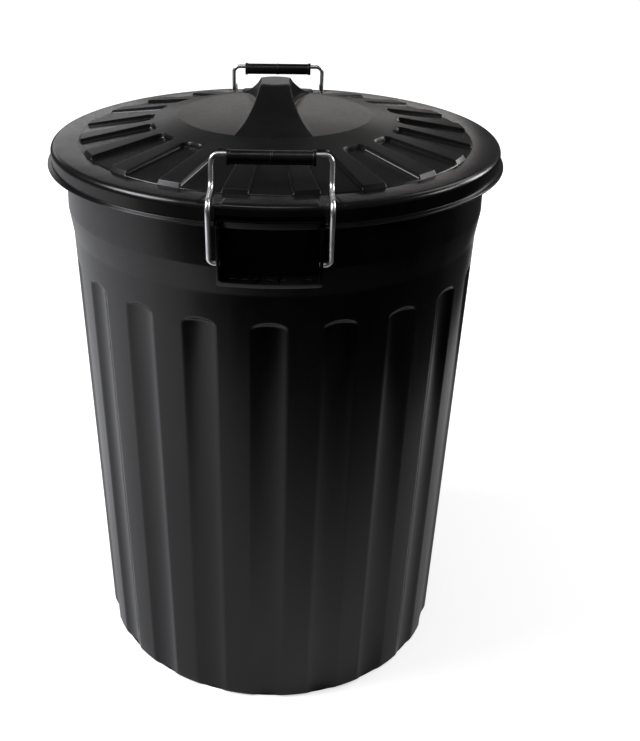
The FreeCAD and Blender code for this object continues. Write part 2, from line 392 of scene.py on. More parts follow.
class RingRule(GeometryRule):
    """Repeats a sector round the upright axis."""

    title = "sector_ring"
    inputs = {"Copies": "NodeSocketInt"}

    def shape(self) -> bpy.types.NodeSocket:
        """Puts copies of the sector on points at the axis, each turned by its share of a circle.

        Returns:
            The ring's instances.
        """
        points = self.nodes.add(
            "GeometryNodeMeshLine", {"Count": self.given["Copies"], "Offset": (0.0, 0.0, 0.0)}, mode="OFFSET"
        )
        number = self.nodes.add("GeometryNodeInputIndex")
        share = self.nodes.add("ShaderNodeMath", {0: 2 * math.pi, 1: self.given["Copies"]}, operation="DIVIDE")
        angle = self.nodes.add(
            "ShaderNodeMath", {0: number.outputs[0], 1: share.outputs[0]}, operation="MULTIPLY"
        )
        turn = self.nodes.add("ShaderNodeCombineXYZ", {"Z": angle.outputs[0]})
        ring = self.nodes.add(
            "GeometryNodeInstanceOnPoints",
            {
                "Points": points.outputs["Mesh"],
                "Instance": self.given["Geometry"],
                "Rotation": turn.outputs["Vector"],
            },
        )
        return ring.outputs["Instances"]


class RodRule(GeometryRule):
    """Runs a round wire along a line of edges."""

    title = "rod_along_line"
    inputs = {"Radius": "NodeSocketFloat", "Sides": "NodeSocketInt"}

    def shape(self) -> bpy.types.NodeSocket:
        """Runs a capped tube along the line.

        Returns:
            The tube's mesh.
        """
        line = self.nodes.add("GeometryNodeMeshToCurve", {"Mesh": self.given["Geometry"]})
        ring = self.nodes.add(
            "GeometryNodeCurvePrimitiveCircle",
            {"Resolution": self.given["Sides"], "Radius": self.given["Radius"]},
        )
        rod = self.nodes.add(
            "GeometryNodeCurveToMesh",
            {"Curve": line.outputs["Curve"], "Profile Curve": ring.outputs["Curve"], "Fill Caps": True},
        )
        return rod.outputs["Mesh"]


@dataclass(frozen=True)
class PlasticFinish:
    """Black moulded plastic: hazy where it is rubbed, glossier in its hollows, with slow waves and a fine grain."""

    name: str
    deep: tuple[float, float, float] = (0.0018, 0.0018, 0.0019)
    hazy: tuple[float, float, float] = (0.010, 0.0095, 0.0093)
    rubbed: tuple[float, float] = (0.2, 0.28)
    sheltered: tuple[float, float] = (0.10, 0.18)
    sheen: float = 0.35
    streak: float = 1.0
    wave: float = 0.0
    grain: float = 0.00004
    cloud_scale: float = 11.0
    scuff_scale: float = 160.0
    wave_scale: float = 16.0
    grain_scale: float = 1100.0
    cloud_detail: float = 6.0
    scuff_detail: float = 3.0
    crispness: float = 0.6
    wear_span: tuple[float, float] = (0.15, 0.38)
    stain_span: tuple[float, float] = (0.42, 0.7)

    def material(self) -> bpy.types.Material:
        """Builds the material from noise on the piece's own coordinates and from its shelter.

        Returns:
            The new material.
        """
        made, nodes = blank_material(self.name)
        place = nodes.add("ShaderNodeTexCoord").outputs["Object"]
        shelter = nodes.add("ShaderNodeAttribute", attribute_name="shelter").outputs["Fac"]
        drawn = nodes.add("ShaderNodeMapping", {"Vector": place, "Scale": (1.0, 1.0, self.streak)})
        cloud, scuff = (
            nodes.add(
                "ShaderNodeTexNoise",
                {"Vector": drawn.outputs[0], "Scale": scale, "Detail": detail, "Roughness": self.crispness},
            )
            for scale, detail in ((self.cloud_scale, self.cloud_detail), (self.scuff_scale, self.scuff_detail))
        )
        worn = nodes.add(
            "ShaderNodeMath", {0: cloud.outputs["Fac"], 1: scuff.outputs["Fac"]}, operation="MULTIPLY"
        )
        least, most = self.wear_span
        outside, inside = (
            nodes.add("ShaderNodeMapRange", {"Value": worn.outputs[0], 1: least, 2: most, 3: low, 4: high})
            for low, high in (self.rubbed, self.sheltered)
        )
        gloss = nodes.add(
            "ShaderNodeMapRange", {"Value": shelter, 3: outside.outputs[0], 4: inside.outputs[0]}
        )
        clean, stained = self.stain_span
        stain = nodes.add("ShaderNodeMapRange", {"Value": cloud.outputs["Fac"], 1: clean, 2: stained})
        tone = nodes.add(
            "ShaderNodeMixRGB",
            {"Fac": stain.outputs[0], "Color1": (*self.deep, 1.0), "Color2": (*self.hazy, 1.0)},
        )
        slow = nodes.add("ShaderNodeTexNoise", {"Vector": drawn.outputs[0], "Scale": self.wave_scale})
        fine = nodes.add("ShaderNodeTexNoise", {"Vector": place, "Scale": self.grain_scale})
        waves = nodes.add("ShaderNodeBump", {"Height": slow.outputs["Fac"], "Strength": 1.0, "Distance": self.wave})
        grain = nodes.add(
            "ShaderNodeBump",
            {"Height": fine.outputs["Fac"], "Strength": 1.0, "Distance": self.grain, "Normal": waves.outputs[0]},
        )
        shader = nodes.add(
            "ShaderNodeBsdfPrincipled",
            {
                "Base Color": tone.outputs[0],
                "Roughness": gloss.outputs[0],
                "Specular IOR Level": self.sheen,
                "Normal": grain.outputs[0],
            },
        )
        nodes.add("ShaderNodeOutputMaterial", {"Surface": shader.outputs[0]})
        return made


@dataclass(frozen=True)
class WireFinish:
    """Bright plated steel wire with faint dulled patches and drawing marks."""

    name: str
    bright: tuple[float, float, float] = (0.86, 0.87, 0.88)
    dulled: tuple[float, float, float] = (0.62, 0.62, 0.62)
    glossy: float = 0.26
    dull: float = 0.4
    spot_scale: float = 60.0
    spot_detail: float = 4.0
    mark_scale: float = 700.0
    mark_strength: float = 0.4
    mark_depth: float = 0.0001
    patch_span: tuple[float, float] = (0.45, 0.75)
    gloss_span: tuple[float, float] = (0.3, 0.7)

    def material(self) -> bpy.types.Material:
        """Builds the material from noise on the piece's own coordinates.

        Returns:
            The new material.
        """
        made, nodes = blank_material(self.name)
        place = nodes.add("ShaderNodeTexCoord").outputs["Object"]
        spots = nodes.add("ShaderNodeTexNoise", {"Vector": place, "Scale": self.spot_scale, "Detail": self.spot_detail})
        marks = nodes.add("ShaderNodeTexNoise", {"Vector": place, "Scale": self.mark_scale})
        clear, dulled = self.patch_span
        patch = nodes.add("ShaderNodeMapRange", {"Value": spots.outputs["Fac"], 1: clear, 2: dulled})
        tone = nodes.add(
            "ShaderNodeMixRGB",
            {"Fac": patch.outputs[0], "Color1": (*self.bright, 1.0), "Color2": (*self.dulled, 1.0)},
        )
        least, most = self.gloss_span
        gloss = nodes.add(
            "ShaderNodeMapRange",
            {"Value": spots.outputs["Fac"], 1: least, 2: most, 3: self.glossy, 4: self.dull},
        )
        bump = nodes.add(
            "ShaderNodeBump",
            {"Height": marks.outputs["Fac"], "Strength": self.mark_strength, "Distance": self.mark_depth},
        )
        shader = nodes.add(
            "ShaderNodeBsdfPrincipled",
            {
                "Base Color": tone.outputs[0],
                "Metallic": 1.0,
                "Roughness": gloss.outputs[0],
                "Normal": bump.outputs[0],
            },
        )
        nodes.add("ShaderNodeOutputMaterial", {"Surface": shader.outputs[0]})
        return made


@dataclass
class FlutedTub:
    """The tub: a tapered wall with arched flutes, a collar, a rim bead and a foot ring."""

    finish: bpy.types.Material
    base_radius: float = 210.0
    body_radius: float = 234.8
    body_top: float = 528.0
    body_round: float = 26.0
    collar_bottom: float = 558.0
    collar_radius: float = 239.6
    collar_round: float = 14.0
    inside_round: float = 40.0
    crease_round: float = 1.0
    bead_foot_round: float = 1.2
    bead_bottom: float = 602.6
    bead_radius: float = 252.0
    bead_top: float = 612.6
    bead_round: float = 2.4
    bead_slope: float = 2.6
    rim_radius: float = 247.6
    rim_height: float = 626.4
    rim_round: float = 0.8
    ledge_round: float = 0.25
    wall: float = 3.0
    floor: float = 8.0
    foot_height: float = 4.0
    foot_width: float = 14.0
    base_round: float = 5.0
    floor_ring: float = 14.0
    floor_round: float = 6.0
    step_round: float = 2.0
    fluted_from: float = 20.0
    fluted_to: float = 512.0
    # Rows along the flutes: first height, last height and count of each run.
    outer_rows: tuple[tuple[float, float, int], ...] = ((20.0, 484.0, 9), (486.0, 507.0, 22))
    inner_rows: tuple[tuple[float, float, int], ...] = ((508.0, 486.0, 9), (470.0, 22.0, 5))
    flutes: int = 20
    flute_half: float = 20.0
    flute_depth: float = 4.2
    flute_bowl: float = 2.2
    flute_top: float = 498.5
    crown_radius: float = 38.0
    corner_radius: float = 9.0
    edge_blend: float = 1.2
    slant: float = 1.0011  # length up the wall over height
    inner_widening: float = 0.41
    # Columns of half a sector: distances from the flute's middle line, then shares of the land beside it.
    flute_columns: tuple[float, ...] = (
        0.0, 3.0, 6.0, 9.0, 11.5, 13.5, 15.0, 16.2,
        17.3, 18.2, 19.0, 19.6, 20.2, 20.9, 22.0, 24.0,
    )
    land_columns: tuple[float, ...] = (0.33, 0.67, 1.0)

    @property
    def foot_edge(self) -> float:
        """Radius where the flat of the foot ring ends and the base's round starts."""
        return self.base_radius - self.base_round * 1.6

    def cone_radius(self, height: np.ndarray) -> np.ndarray:
        """Radius of the plain tapered wall at a height."""
        return self.base_radius + height * (self.body_radius - self.base_radius) / self.body_top

    def flute_edge(self, across: np.ndarray, along: np.ndarray, grow: float) -> np.ndarray:
        """Distance from a flute's arched outline, below zero inside it.

        Args:
            across: Distance from the flute's middle line.
            along: Distance up the wall.
            grow: How far the outline is widened.

        Returns:
            The signed distance.
        """
        across = np.abs(across)
        half, crown, corner = self.flute_half + grow, self.crown_radius + grow, self.corner_radius + grow
        centre = self.flute_top - self.crown_radius
        side = half - corner
        level = centre + math.sqrt((crown - corner) ** 2 - side**2)
        lean = math.atan2(level - centre, side)
        on_crown = np.hypot(across, along - centre) - crown
        on_corner = np.hypot(across - side, along - level) - corner
        top = np.where(np.arctan2(along - centre, across) >= lean, on_crown, on_corner)
        return np.where((along > level) & ((across > side) | (top == on_crown)), top, across - half)

    def columns(self, radius: float) -> np.ndarray:
        """Places the columns of one sector, closest at the flute's sides.

        Args:
            radius: Radius of the row.

        Returns:
            Distances from the flute's middle line, from one edge of the sector to the other.
        """
        side = self.flute_columns[-1]
        edge = radius * math.sin(math.pi / self.flutes)
        land = [side + (edge - side) * share for share in self.land_columns]
        half = np.array([*self.flute_columns, *land])
        return np.concatenate([-half[:0:-1], half])

    def outer_path(self) -> np.ndarray:
        """Samples the outside, with even rows up the flutes and close ones in their arches.

        Returns:
            Radius and height of each row, from the ground to the rim's top.
        """
        path = rounded_path(
            [
                (self.foot_edge, 0, 0),
                (self.cone_radius(0.0) - 0.1, 0, self.base_round * 0.92),
                (self.body_radius, self.body_top, self.body_round),
                (self.collar_radius, self.collar_bottom, self.collar_round),
                (self.collar_radius, self.bead_bottom, self.crease_round),
                (self.bead_radius - self.bead_slope, self.bead_bottom, self.bead_foot_round),
                (self.bead_radius, self.bead_top, self.bead_round),
                (self.rim_radius, self.bead_top, self.ledge_round),
                (self.rim_radius, self.rim_height, self.rim_round),
                (self.rim_radius - self.wall / 2, self.rim_height, 0),
            ],
            turn=8,
        )
        low = path[path[:, 1] < self.fluted_from]
        high = path[path[:, 1] > self.fluted_to + 1]
        fluted = np.concatenate([np.linspace(*run) for run in self.outer_rows] + [[self.fluted_to]])
        middle = np.stack([self.cone_radius(fluted), fluted], 1)
        return np.concatenate([low, middle, high])

    def inner_path(self) -> np.ndarray:
        """Samples the inside, with fewer rows than the outside.

        Returns:
            Radius and height of each row, from the rim's top to a ring on the floor.
        """
        wall = self.wall
        path = rounded_path(
            [
                (self.rim_radius - wall / 2, self.rim_height, 0),
                (self.rim_radius - wall, self.rim_height, self.rim_round),
                (self.rim_radius - wall, self.bead_bottom + wall, self.step_round),
                (self.collar_radius - wall, self.bead_bottom + wall, self.step_round),
                (self.collar_radius - wall, self.collar_bottom, self.inside_round),
                (self.body_radius - wall, self.body_top, self.inside_round),
                (self.cone_radius(self.floor) - wall, self.floor, self.floor_round),
                (self.cone_radius(self.floor) - wall - self.floor_ring, self.floor, 0),
            ],
            turn=22,
        )
        high = path[path[:, 1] > self.fluted_to + 1]
        low = path[path[:, 1] < self.fluted_from]
        fluted = np.concatenate([[self.fluted_to]] + [np.linspace(*run) for run in self.inner_rows])
        return np.concatenate([high, np.stack([self.cone_radius(fluted) - wall, fluted], 1), low])

    def sector(self, path: np.ndarray, layer: Layer) -> tuple[np.ndarray, np.ndarray]:
        """Points of one flute's sector along a path up or down the wall.

        Args:
            path: Radius and height of each row.
            layer: Face of the wall that the rows lie on.

        Returns:
            The points by row and column, the flute facing +X, and how far each one lies in the flute.
        """
        inset = self.wall if layer is Layer.INNER else 0.0
        wider = inset * self.inner_widening
        rows, hollow = [], []
        for radius, height in path:
            across = self.columns(radius)
            plain = np.sqrt(radius**2 - across**2)
            share = np.zeros_like(across)
            if self.base_round * 0.05 < height < self.body_top - 10:
                cone = float(self.cone_radius(np.array(height))) - inset
                edge = self.flute_edge(across, np.full_like(across, height * self.slant), wider)
                off = np.minimum(np.abs(across) / (self.flute_half + wider), 1)
                sunk = soft_least(self.flute_depth * (1 - off**self.flute_bowl), -edge, self.edge_blend)
                plain = cone - soft_most(cone - plain, sunk, self.edge_blend)
                share = np.clip(sunk / self.flute_depth, 0, 1)
            rows.append(np.stack([plain, across, np.full_like(across, height)], -1))
            hollow.append(share)
        return np.array(rows), np.array(hollow)

    def build(self, ring: RingRule) -> bpy.types.Mesh:
        """Builds the shell: the fluted sector repeated round the axis, then the floor and the underside.

        Args:
            ring: Rule that repeats the sector.

        Returns:
            The shell's mesh.
        """
        tile = Skin()
        for path, layer in ((self.outer_path(), Layer.OUTER), (self.inner_path(), Layer.INNER)):
            points, hollow = self.sector(path, layer)
            tile.patch(points, shelter=hollow)
        foot = self.base_radius - self.base_round - self.foot_width
        underside = np.array(
            [
                (0.01, self.foot_height),
                (foot - 1, self.foot_height),
                (foot + self.foot_height - 1, 0.3),
                (foot + self.foot_height + 1, 0),
                (self.foot_edge, 0),
            ]
        )
        top = self.cone_radius(np.array(self.floor)) - self.wall - self.floor_ring
        floor = np.array([(top, self.floor), (top * 0.6, self.floor), (0.01, self.floor)])
        for path in (underside, floor):
            tile.patch(self.spread(path))
        return ring.run(tile.mesh("tub_shell"), self.finish, Copies=self.flutes)

    def spread(self, path: np.ndarray) -> np.ndarray:
        """Turns a plain path through one sector, on the columns that its widest row has.

        Args:
            path: Radius and height of each row.

        Returns:
            The points by row and column.
        """
        widest = float(path[:, 0].max())
        angles = np.arcsin(self.columns(widest) / widest)
        grid = [(path[:, :1] * np.cos(angles)), (path[:, :1] * np.sin(angles)), path[:, 1:] + 0 * angles]
        return np.stack(grid, -1)

    def dress(self, ring: RingRule) -> bpy.types.Object:
        """Stands the shell up and ties it to the frame.

        Args:
            ring: Rule that repeats the sector.

        Returns:
            The tub's shell.
        """
        shell = stand_up(welded(self.build(ring)), self.finish)
        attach(shell, "tub")
        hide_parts("tub")
        return shell


@dataclass
class BailLug:
    """A lug under the rim: two ears with a pivot bore each and a slotted ledge, its front round the tub's axis."""

    finish: bpy.types.Material
    end: End
    half_width: float = 51.2
    reach: float = 260.09
    root: float = 231.5
    bottom: float = 546.0
    top: float = 607.0
    ear: float = 3.2
    ledge: float = 5.4
    ledge_steps: int = 16
    ledge_share: float = 0.88
    corner: float = 3.0
    pivot_reach: float = 248.5
    pivot_height: float = 568.0
    bore: float = 2.58
    bore_sides: int = 32
    slots: int = 7
    slot_circle: float = 249.84
    slot_bridge: float = 5.0
    slot_width: float = 3.2
    edge_round: float = 0.8
    edge_steps: int = 3
    undercut: float = 2.4
    undercut_rise: float = 6.0
    bevel_angle: float = 40.0

    def run(self, half: float, low: float) -> np.ndarray:
        """Samples one side of the U.

        Args:
            half: Half of the width between the ears' faces.
            low: Height of the ledge's face.

        Returns:
            Across and height down one ear, along the ledge and up the other ear.
        """
        ear = [(half, self.top, 0), (half, low, self.corner)]
        parts = np.linspace(self.ledge_share, -self.ledge_share, self.ledge_steps)
        ledge = [(half * part, low, 0) for part in parts]
        return rounded_path(ear + ledge + [(-across, height, turn) for across, height, turn in ear[::-1]])

    def seed(self) -> bpy.types.Mesh:
        """Builds the U as one closed solid, before its slots and bores.

        Returns:
            The solid's mesh, in millimetres, for the front end.
        """
        outside = self.run(self.half_width, self.bottom)
        inside = self.run(self.half_width - self.ear, self.bottom + self.ledge)
        rows = []
        for side, front in ((outside, False), (outside, True), (inside, True), (inside, False)):
            depth = np.sqrt(self.reach**2 - side[:, 0] ** 2) if front else np.full(len(side), self.root)
            if front and side is outside:
                below = (self.bottom + self.undercut_rise - side[:, 1]) / self.undercut_rise
                depth = depth - self.undercut * np.clip(below, 0, 1)
            rows.append(np.stack([side[:, 0], -depth, side[:, 1]], 1))
        count = len(outside)
        faces = [tuple(row * count for row in range(4)), tuple(row * count + count - 1 for row in range(3, -1, -1))]
        for row in range(4):
            here, there = row * count, (row + 1) % 4 * count
            faces += [(here + i, here + i + 1, there + i + 1, there + i) for i in range(count - 1)]
        mesh = bpy.data.meshes.new("lug_seed")
        mesh.from_pydata(np.concatenate(rows).tolist(), [], faces)
        work = bmesh.new()
        work.from_mesh(mesh)
        bmesh.ops.recalc_face_normals(work, faces=work.faces)
        work.to_mesh(mesh)
        work.free()
        return mesh

    def cutters(self) -> bpy.types.Mesh:
        """Builds the slots and the pivot bores as loose solids.

        Returns:
            The solids' mesh, in millimetres, for the front end.
        """
        work = bmesh.new()
        pitch = (2 * self.half_width - 2 * self.ear) / (self.slots + 1)
        for index in range(self.slots):
            across = (index - (self.slots - 1) / 2) * pitch
            depth = math.sqrt(self.slot_circle**2 - across**2)
            cube = bmesh.ops.create_cube(work, size=1.0)["verts"]
            bmesh.ops.scale(work, verts=cube, vec=(pitch - self.slot_bridge, self.slot_width, self.ledge * 3))
            bmesh.ops.translate(work, verts=cube, vec=(across, -depth, self.bottom + self.ledge / 2))
        for side in (-1, 1):
            made = bmesh.ops.create_cone(
                work,
                cap_ends=True,
                segments=self.bore_sides,
                radius1=self.bore,
                radius2=self.bore,
                depth=self.ear * 4,
            )["verts"]
            bmesh.ops.rotate(work, verts=made, matrix=Euler((0, math.pi / 2, 0)).to_matrix())
            bmesh.ops.translate(
                work,
                verts=made,
                vec=(side * (self.half_width - self.ear / 2), -self.pivot_reach, self.pivot_height),
            )
        mesh = bpy.data.meshes.new("lug_cutters")
        work.to_mesh(mesh)
        work.free()
        return mesh

    def build(self) -> bpy.types.Mesh:
        """Builds the U, cuts the slots and bores out of it and rounds its edges.

        Returns:
            The lug's mesh.
        """
        thing = put("lug_seed", self.seed())
        tool = put("lug_tool", self.cutters())
        cut = thing.modifiers.new("slots", "BOOLEAN")
        cut.object = tool
        cut.operation = "DIFFERENCE"
        cut.solver = "EXACT"
        edge = thing.modifiers.new("edges", "BEVEL")
        edge.width = self.edge_round
        edge.segments = self.edge_steps
        edge.limit_method = "ANGLE"
        edge.angle_limit = math.radians(self.bevel_angle)
        result = baked(thing, f"{self.end.value}_lug")
        discard(tool)
        flat = np.array([vertex.co for vertex in result.vertices])
        result.vertices.foreach_set("co", (self.end.placed(flat) * MILLIMETRE).ravel())
        return welded(result)

    def dress(self) -> bpy.types.Object:
        """Stands the lug up and ties it to the tub.

        Returns:
            The lug.
        """
        lug = stand_up(self.build(), self.finish)
        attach(lug, "tub")
        return lug


@dataclass
class RibbedLid:
    """The lid: a ridge between two finger recesses, sunken panels between bars, a flange and a skirt."""

    finish: bpy.types.Material
    flange_height: float = 629.0
    wall: float = 2.6
    recess_radius: float = 110.0
    recess_rise: float = 30.0
    recess_sag: float = 4.0
    knee_rise: float = 20.0
    knee_round: float = 40.0
    panel_inner: float = 140.0
    panel_outer: float = 224.5
    bar_rise: float = 4.9
    bar_bevel: float = 2.8
    bar_round: float = 1.2
    panel_half_angle: float = 5.7
    panel_depth: float = 4.6
    panel_edge_rise: float = 0.8
    panel_round: float = 7.0
    panel_wall: tuple[float, float] = (0.4, 1.3)  # start outside the panel's outline, and run
    panels: int = 20
    # Columns at a panel's side, as distances into the panel, and radii of the rows away from its ends.
    side_columns: tuple[float, ...] = (-2.4, -1.4, -0.7, -0.2, 0.2, 0.6, 1.0, 1.5, 2.2, 3.2, 5.0)
    bar_rows: tuple[float, ...] = (114.0, 120.0, 128.0, 156.0, 172.0, 190.0, 206.0, 216.0)
    ridge_rise: float = 63.5
    ridge_top: float = 20.0
    ridge_crest: float = 26.0
    ridge_half: float = 17.0
    ridge_flare: float = 46.1
    ridge_foot: float = 6.0
    ridge_edge: float = 3.0
    ridge_rows: int = 133
    flange_radius: float = 256.4
    flange_round: float = 6.5
    skirt_radius: float = 255.4
    lip_radius: float = 260.0
    lip_thickness: float = 1.8
    lip_slope: float = 1.2
    lip_rounds: tuple[float, ...] = (0.6, 0.5, 0.7, 0.9, 0.8)  # from the flange's underside round the lip
    skirt_bore: float = 253.4
    skirt_height: float = 22.5
    cut_half: float = 52.0
    cut_height: float = 11.2
    dent_side: float = 58.5
    dent_half: float = 13.0
    dent_depth: float = 1.5
    dent_length: float = 8.0
    dent_run: tuple[float, float] = (1.5, 1.0)  # at its sides, and at its inner end
    dent_fade: float = 2.2
    # Columns at the dents, in degrees from the middle of an end: first, last and step of each run.
    dent_columns: tuple[tuple[float, float, float], ...] = ((9.6, 11.4, 0.15), (11.6, 15.4, 0.5), (15.4, 17.2, 0.15))
    rim_step: float = 1.5
    cut_gap: float = 0.03

    def dome_rise(self, radius: np.ndarray) -> np.ndarray:
        """Rise of the ridge's back over the flange: a round crest and a straight fall that meets it.

        Args:
            radius: Distance from the axis.

        Returns:
            The rise.
        """
        centre = self.ridge_rise - self.ridge_crest
        rim = self.recess_rise - self.recess_sag
        run, fall = self.recess_radius - self.ridge_top, rim - centre
        tangent = math.atan2(fall, run) + math.acos(self.ridge_crest / math.hypot(run, fall))
        foot = self.ridge_top + self.ridge_crest * math.cos(tangent)
        level = centre + self.ridge_crest * math.sin(tangent)
        over = np.clip(radius - self.ridge_top, 0, self.ridge_crest)
        crest = centre + np.sqrt(self.ridge_crest**2 - over**2)
        slope = level + (radius - foot) * (rim - level) / (self.recess_radius - foot)
        return np.where(radius < foot, crest, slope)

    def recess_level(self, radius: np.ndarray) -> np.ndarray:
        """Rise of a finger recess over the flange: it falls away softly towards its round edge."""
        return self.recess_rise - self.recess_sag * (radius / self.recess_radius) ** 2

    def bar_path(self) -> np.ndarray:
        """Samples a bar's back from the recess's edge out to the flange's crease.

        Returns:
            Radius and rise of each row, closest at the two ends of the panels.
        """
        path = rounded_path(
            [
                (self.recess_radius, self.recess_rise - self.recess_sag, 0),
                (self.panel_inner - 3, self.knee_rise + 0.6, self.knee_round),
                (self.panel_outer - self.bar_bevel, self.bar_rise, self.bar_round),
                (self.panel_outer, 0, 0),
            ],
            turn=6,
        )
        inner_ends = np.arange(self.panel_inner - 3, self.panel_inner + 11, 0.8)
        outer_ends = np.arange(self.panel_outer - 5.0, self.panel_outer + 0.1, 0.7)
        radius = np.unique(np.round(np.concatenate([path[:, 0], inner_ends, outer_ends, self.bar_rows]), 3))
        return np.stack([radius, np.interp(radius, path[:, 0], path[:, 1])], 1)

    def rib_sector(self, layer: Layer) -> tuple[np.ndarray, np.ndarray]:
        """Points of one panel and its two half bars.

        Args:
            layer: Face of the wall that the points lie on.

        Returns:
            The points by row and column, from the recess's edge outwards, the panel facing +X, and how far
            each one lies in the panel.
        """
        beside = np.array(self.side_columns)
        side = math.radians(self.panel_half_angle)
        limit = math.pi / self.panels
        wall_start, wall_run = self.panel_wall
        drop = self.wall if layer is Layer.INNER else 0.0
        rows, hollow = [], []
        for radius, rise in self.bar_path():
            near = side - beside / radius
            half = np.concatenate([[0.0, near[-1] / 2], near[::-1], [(near[0] + limit) / 2, limit]])
            angles = np.concatenate([-half[:0:-1], half])
            across = np.abs(angles) * radius - side * radius + self.panel_round
            behind = self.panel_inner - radius + self.panel_round
            edge = np.hypot(np.maximum(across, 0), max(behind, 0)) - self.panel_round
            edge = edge + np.minimum(np.maximum(across, behind), 0)
            share = np.clip((wall_start - edge) / wall_run, 0, 1)
            share = share * share * (3 - 2 * share)
            inner_rise, reach = self.knee_rise - self.panel_depth, self.panel_outer - self.panel_inner
            floor = inner_rise + (radius - self.panel_inner) / reach * (self.panel_edge_rise - inner_rise)
            level = rise + np.minimum(floor - rise, 0) * share
            hollow.append(share)
            if radius > self.panel_outer - 0.1:
                level = np.zeros_like(level)
            height = self.flange_height + level - drop
            rows.append(np.stack([radius * np.cos(angles), radius * np.sin(angles), height], -1))
        return np.array(rows), np.array(hollow)

    def crown(self, layer: Layer) -> np.ndarray:
        """Points of the ridge and its finger recesses, in rows across the ridge.

        Args:
            layer: Face of the wall that the points lie on.

        Returns:
            The points by row and column, out to the recess's round edge.
        """
        inset = self.wall if layer is Layer.INNER else 0.0
        reach = self.recess_radius + 3
        swell = (self.ridge_flare - self.ridge_half) * (reach / self.recess_radius) ** 2
        arc = (reach**2 + swell**2) / (2 * swell)
        quarter = np.radians(np.linspace(0, 90, 6))
        rows = []
        for turn in np.radians(np.linspace(-90, 90, self.ridge_rows)):
            along = self.recess_radius * math.sin(turn)
            limit = self.recess_radius * math.cos(turn)
            half = min(self.ridge_half - inset + arc - math.sqrt(arc**2 - along**2), limit)
            top = float(self.dome_rise(np.array(math.hypot(half, along)))) - inset
            floor = float(self.recess_level(math.hypot(half, along))) - inset
            tall = max(top - floor, 0.0)
            edge = min(self.ridge_edge, tall * 0.35, half * 0.5)
            foot = min(self.ridge_foot, tall * 0.6, max(limit - half, 0.0) * 0.9)
            over = np.linspace(0, half - edge, 9)
            back = self.dome_rise(np.hypot(over, along)) - inset
            fall = (top - edge - back[-1]) * (1 - np.cos(quarter))
            rim = np.stack([half - edge + edge * np.sin(quarter), back[-1] + fall], 1)
            drop = np.linspace(top - edge, floor + foot, 4)[1:-1]
            cheek = np.stack([np.full(2, half), drop], 1)
            out = half + foot * (1 - np.cos(quarter))
            level = self.recess_level(np.hypot(out, along)) - inset
            sole = np.stack([out, level + foot * (1 - np.sin(quarter))], 1)
            out = np.linspace(half + foot, limit, 11)[1:]
            flat = np.stack([out, self.recess_level(np.hypot(out, along)) - inset], 1)
            right = np.concatenate([np.stack([over, back], 1), rim[1:], cheek, sole, flat])
            section = np.concatenate([right[:0:-1] * np.array([-1, 1]), right])
            height = self.flange_height + section[:, 1]
            rows.append(np.stack([section[:, 0], np.full(len(section), along), height], -1))
        return np.array(rows)

    def rim_profile(self) -> np.ndarray:
        """Samples the rim from the flange's underside round the skirt and lip to the flange's crease.

        Returns:
            Radius and rise of each point.
        """
        foot = -self.skirt_height
        shelf = foot + self.lip_thickness
        corner, bore_edge, lip_low, lip_high, neck = self.lip_rounds
        return rounded_path(
            [
                (self.panel_outer, -self.wall, 0),
                (self.skirt_bore, -self.wall, corner),
                (self.skirt_bore, foot, bore_edge),
                (self.lip_radius, foot, lip_low),
                (self.lip_radius, shelf, lip_high),
                (self.skirt_radius, shelf + self.lip_slope, neck),
                (self.flange_radius, 0, self.flange_round),
                (self.panel_outer + 1.0, 0, 0),
                (self.panel_outer, 0, 0),
            ],
            turn=16,
        )

    def rim_angles(self) -> np.ndarray:
        """Places the flange's columns, closest at the dents' sides and doubled at the ends of the skirt's cuts.

        Returns:
            The angles of one whole turn.
        """
        cut = math.degrees(math.asin(self.cut_half / self.skirt_radius))
        ends = [cut - self.cut_gap, cut + self.cut_gap]
        dents = [np.arange(*run) for run in self.dent_columns]
        offsets = np.unique(np.round(np.concatenate([np.arange(0, 91, self.rim_step), *dents, ends]), 4))
        away = np.abs(offsets - cut)
        offsets = offsets[(away < self.cut_gap + 0.01) | (away > self.cut_gap * 5)]
        quarter = np.concatenate([-90 - offsets[::-1], -90 + offsets[1:]])
        return np.radians(np.concatenate([quarter, quarter[1:] + 180]))

    def rim(self) -> np.ndarray:
        """Points of the flange, skirt and lip, with the skirt's cuts and the dents for the wires.

        Returns:
            The points by row and column, from the flange's underside round to its top.
        """
        angles = self.rim_angles()
        profile = self.rim_profile()
        radius, rise = (profile[:, axis : axis + 1] + 0 * angles for axis in (0, 1))
        inside = np.abs(np.cos(angles)) * self.skirt_radius < self.cut_half
        radius = np.where(inside, np.minimum(radius, self.skirt_radius), radius)
        rise = np.where(inside, np.maximum(rise, self.cut_height - self.skirt_height), rise)
        x, y = radius * np.cos(angles), radius * np.sin(angles)
        start = math.sqrt(self.flange_radius**2 - self.dent_side**2) - self.dent_length
        side_run, end_run = self.dent_run
        beside = np.clip((self.dent_half - np.abs(np.abs(x) - self.dent_side)) / side_run, 0, 1)
        into = np.clip((np.abs(y) - start) / end_run, 0, 1)
        sunk = self.dent_depth * beside * into * into * (3 - 2 * into)
        rise = rise - sunk * np.clip((rise + self.dent_fade) / self.dent_fade, 0, 1)
        return np.stack([x, y, self.flange_height + rise], -1)

